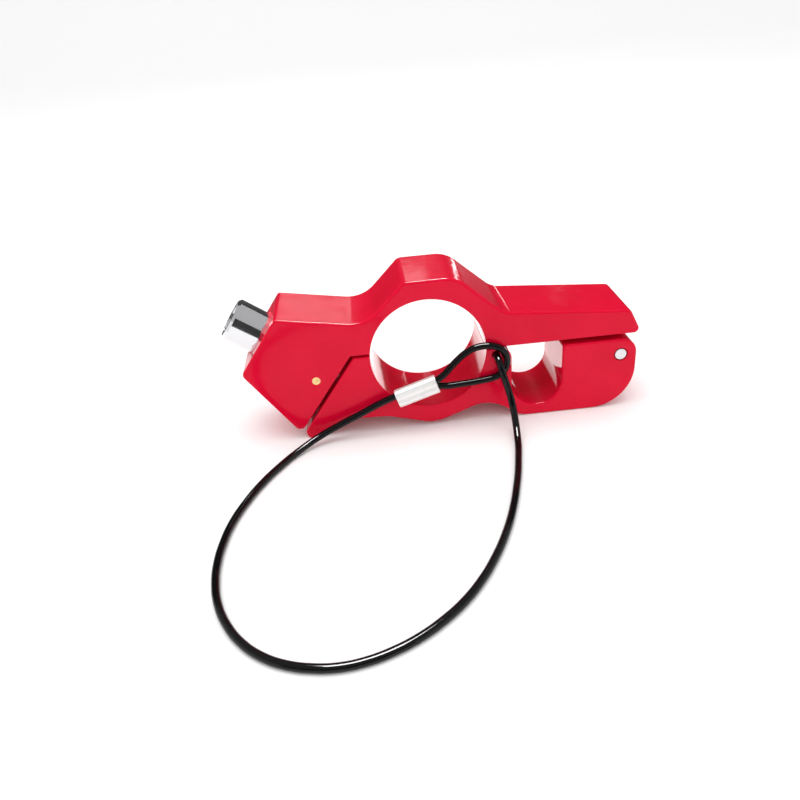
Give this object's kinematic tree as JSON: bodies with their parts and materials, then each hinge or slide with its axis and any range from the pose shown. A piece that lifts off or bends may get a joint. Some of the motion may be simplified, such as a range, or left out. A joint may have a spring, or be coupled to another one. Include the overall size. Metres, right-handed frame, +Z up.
{
  "type": "handlebar grip lock",
  "caption": "Two-jaw handlebar grip and brake lever lock with a push-in key cylinder and a captive coated steel cable.",
  "frame": {"origin": "centre of the grip bore, halfway through its length", "axes": "+X to the hinge, +Y to the back along the grip bore, +Z up from the lower jaw to the upper jaw"},
  "size_m": [0.1305, 0.1197, 0.0502],
  "materials": {
    "red_paint": "gloss paint on cast aluminium",
    "bright_steel": "ground",
    "brass": "turned",
    "spring_steel": "drawn wire",
    "chrome": "polished",
    "cable_jacket": "gloss vinyl coating over steel rope",
    "crimped_aluminium": "bright crimped sleeve"
  },
  "bodies": {
    "lower": {"lower_jaw": "red_paint", "hinge_pin": "bright_steel", "cable_loop": "cable_jacket", "cable_eye": "cable_jacket", "ferrule": "crimped_aluminium"},
    "upper": {"upper_jaw": "red_paint", "retaining_pin": "brass", "return_spring": "spring_steel"},
    "barrel": {"barrel": "chrome", "bolt": "bright_steel", "plug_pin": "brass", "latch_pin": "bright_steel", "latch_spring": "spring_steel"},
    "plug": {"key_plug": "chrome", "drive_pin": "bright_steel", "wafer_1": "brass", "wafer_2": "brass", "wafer_3": "brass", "wafer_4": "brass", "wafer_5": "brass", "wafer_spring_1": "spring_steel", "wafer_spring_2": "spring_steel", "wafer_spring_3": "spring_steel", "wafer_spring_4": "spring_steel", "wafer_spring_5": "spring_steel"},
    "latch": {"latch": "bright_steel"}
  },
  "joints": [
    {"name": "jaw_hinge", "type": "hinge", "parent": "lower", "child": "upper", "pos_m": [0.0613, 0, -0.0069], "axis": [0, 1, 0], "range_deg": [0, 95]},
    {"name": "barrel_push", "type": "slide", "parent": "upper", "child": "barrel", "axis": [0.809, 0, -0.5878], "range_m": [0, 0.008], "stiffness_N_per_m": 400, "springref_m": -0.006, "deforming": ["return_spring"]},
    {"name": "plug_turn", "type": "hinge", "parent": "barrel", "child": "plug", "pos_m": [-0.05191, 0, 0.00792], "axis": [0.809, 0, -0.5878], "range_deg": [0, 90]},
    {"name": "latch_swing", "type": "hinge", "parent": "barrel", "child": "latch", "pos_m": [-0.05191, -0.0054, 0.00792], "axis": [0.809, 0, -0.5878], "range_deg": [0, 16], "deforming": ["latch_spring"]}
  ],
  "couplings": [
    {"joint": "latch_swing", "follows": "plug_turn", "ratio": 0.17184}
  ]
}
